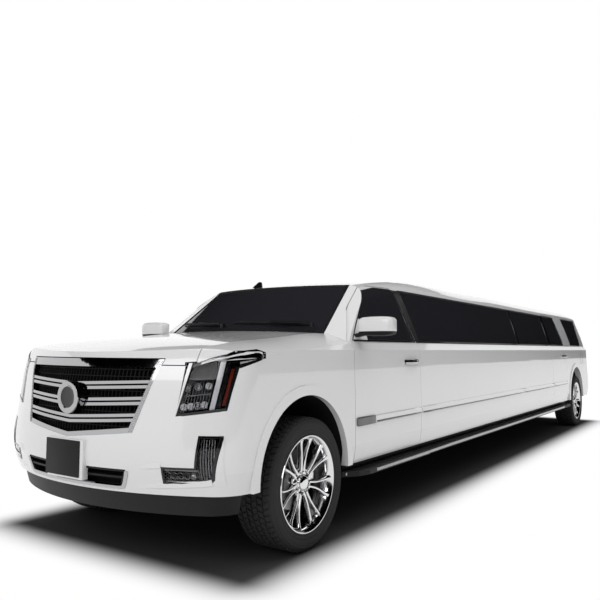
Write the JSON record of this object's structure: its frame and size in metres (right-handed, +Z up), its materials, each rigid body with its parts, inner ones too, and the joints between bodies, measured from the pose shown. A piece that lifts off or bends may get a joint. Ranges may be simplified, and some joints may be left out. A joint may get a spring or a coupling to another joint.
{
  "type": "stretch limousine",
  "caption": "Full-size luxury utility vehicle stretched into a limousine, with opening doors, hood and tailgate, steered front wheels and a long tinted lounge.",
  "frame": {"origin": "on the ground under the middle of the car's length and width", "axes": "+Z up, the front faces -Y, the car's left side is +X"},
  "size_m": [2.524, 10.274, 1.8925],
  "materials": {
    "body_white": "gloss white paint",
    "bright_chrome": "polished chrome",
    "wheel_chrome": "polished chrome",
    "tinted_glass": "near-black tinted glass",
    "lamp_clear": "clear lens",
    "lamp_red": "red lens",
    "trim_black": "satin black moulding",
    "liner_black": "textured black moulding",
    "underbody_black": "black coating",
    "frame_black": "black chassis paint",
    "engine_grey": "cast block",
    "knuckle_iron": "machined casting",
    "exhaust_steel": "dull steel",
    "tyre_rubber": "tyre rubber",
    "cabin_black": "soft-touch moulding",
    "seat_leather": "black leather"
  },
  "bodies": {
    "root": {"frame_rails": "frame_black", "frame_members": "frame_black", "front_suspension": "frame_black", "rear_axle": "frame_black", "engine": "engine_grey", "fuel_tank": "frame_black", "exhaust": "exhaust_steel", "floor_pan": "underbody_black", "rockers": "trim_black", "wheel_housings": "liner_black", "cowl": "trim_black", "fenders": "body_white", "front_bumper": "body_white", "front_valance": "trim_black", "grille": "bright_chrome", "grille_backing": "trim_black", "lower_intake": "trim_black", "headlamps": "lamp_clear", "fog_lamps": "lamp_clear", "a_pillars": "body_white", "windshield": "tinted_glass", "roof": "body_white", "stretch_panels_front": "body_white", "stretch_panels_rear": "body_white", "quarter_panels": "body_white", "side_windows": "tinted_glass", "tail_lamps": "lamp_red", "rear_bumper": "body_white", "running_boards": "trim_black", "dashboard": "cabin_black", "front_seats": "seat_leather", "lounge_seats": "seat_leather", "partition": "cabin_black"},
    "hood": {"hood": "body_white"},
    "tailgate": {"tailgate": "body_white", "tailgate_glass": "tinted_glass"},
    "door_front_left": {"door_front_left": "body_white", "glass_front_left": "tinted_glass", "mirror_left": "body_white"},
    "door_rear_left": {"door_rear_left": "body_white", "glass_rear_left": "tinted_glass"},
    "knuckle_left": {"knuckle_left": "knuckle_iron"},
    "wheel_front_left": {"tyre_front_left": "tyre_rubber", "wheel_front_left": "wheel_chrome"},
    "wheel_rear_left": {"tyre_rear_left": "tyre_rubber", "wheel_rear_left": "wheel_chrome"},
    "door_front_right": {"door_front_right": "body_white", "glass_front_right": "tinted_glass", "mirror_right": "body_white"},
    "door_rear_right": {"door_rear_right": "body_white", "glass_rear_right": "tinted_glass"},
    "knuckle_right": {"knuckle_right": "knuckle_iron"},
    "wheel_front_right": {"tyre_front_right": "tyre_rubber", "wheel_front_right": "wheel_chrome"},
    "wheel_rear_right": {"tyre_rear_right": "tyre_rubber", "wheel_rear_right": "wheel_chrome"}
  },
  "joints": [
    {"name": "hood_hinge", "type": "hinge", "parent": "root", "child": "hood", "pos_m": [0, -3.62186, 1.378], "axis": [-1, 0, 0], "range_deg": [0, 50]},
    {"name": "tailgate_hinge", "type": "hinge", "parent": "root", "child": "tailgate", "pos_m": [0, 4.7795, 1.8755], "axis": [1, 0, 0], "range_deg": [0, 85]},
    {"name": "door_front_left_hinge", "type": "hinge", "parent": "root", "child": "door_front_left", "pos_m": [1.018, -3.536, 1], "axis": [0, 0, -1], "range_deg": [0, 65]},
    {"name": "door_front_right_hinge", "type": "hinge", "parent": "root", "child": "door_front_right", "pos_m": [-1.018, -3.536, 1], "axis": [0, 0, 1], "range_deg": [0, 65]},
    {"name": "door_rear_left_hinge", "type": "hinge", "parent": "root", "child": "door_rear_left", "pos_m": [1.018, 2.3145, 1], "axis": [0, 0, -1], "range_deg": [0, 65]},
    {"name": "door_rear_right_hinge", "type": "hinge", "parent": "root", "child": "door_rear_right", "pos_m": [-1.018, 2.3145, 1], "axis": [0, 0, 1], "range_deg": [0, 65]},
    {"name": "steer_left", "type": "hinge", "parent": "root", "child": "knuckle_left", "pos_m": [0.79, -4.1095, 0.4075], "axis": [0, 0, 1], "range_deg": [-32, 32]},
    {"name": "steer_right", "type": "hinge", "parent": "root", "child": "knuckle_right", "pos_m": [-0.79, -4.1095, 0.4075], "axis": [0, 0, 1], "range_deg": [-32, 32]},
    {"name": "wheel_front_left_spin", "type": "hinge", "parent": "knuckle_left", "child": "wheel_front_left", "pos_m": [0.8725, -4.1095, 0.4075], "axis": [1, 0, 0], "continuous": true},
    {"name": "wheel_rear_left_spin", "type": "hinge", "parent": "root", "child": "wheel_rear_left", "pos_m": [0.8725, 3.9165, 0.4075], "axis": [1, 0, 0], "continuous": true},
    {"name": "wheel_front_right_spin", "type": "hinge", "parent": "knuckle_right", "child": "wheel_front_right", "pos_m": [-0.8725, -4.1095, 0.4075], "axis": [1, 0, 0], "continuous": true},
    {"name": "wheel_rear_right_spin", "type": "hinge", "parent": "root", "child": "wheel_rear_right", "pos_m": [-0.8725, 3.9165, 0.4075], "axis": [1, 0, 0], "continuous": true}
  ],
  "couplings": [
    {"joint": "steer_right", "follows": "steer_left", "ratio": 1}
  ]
}
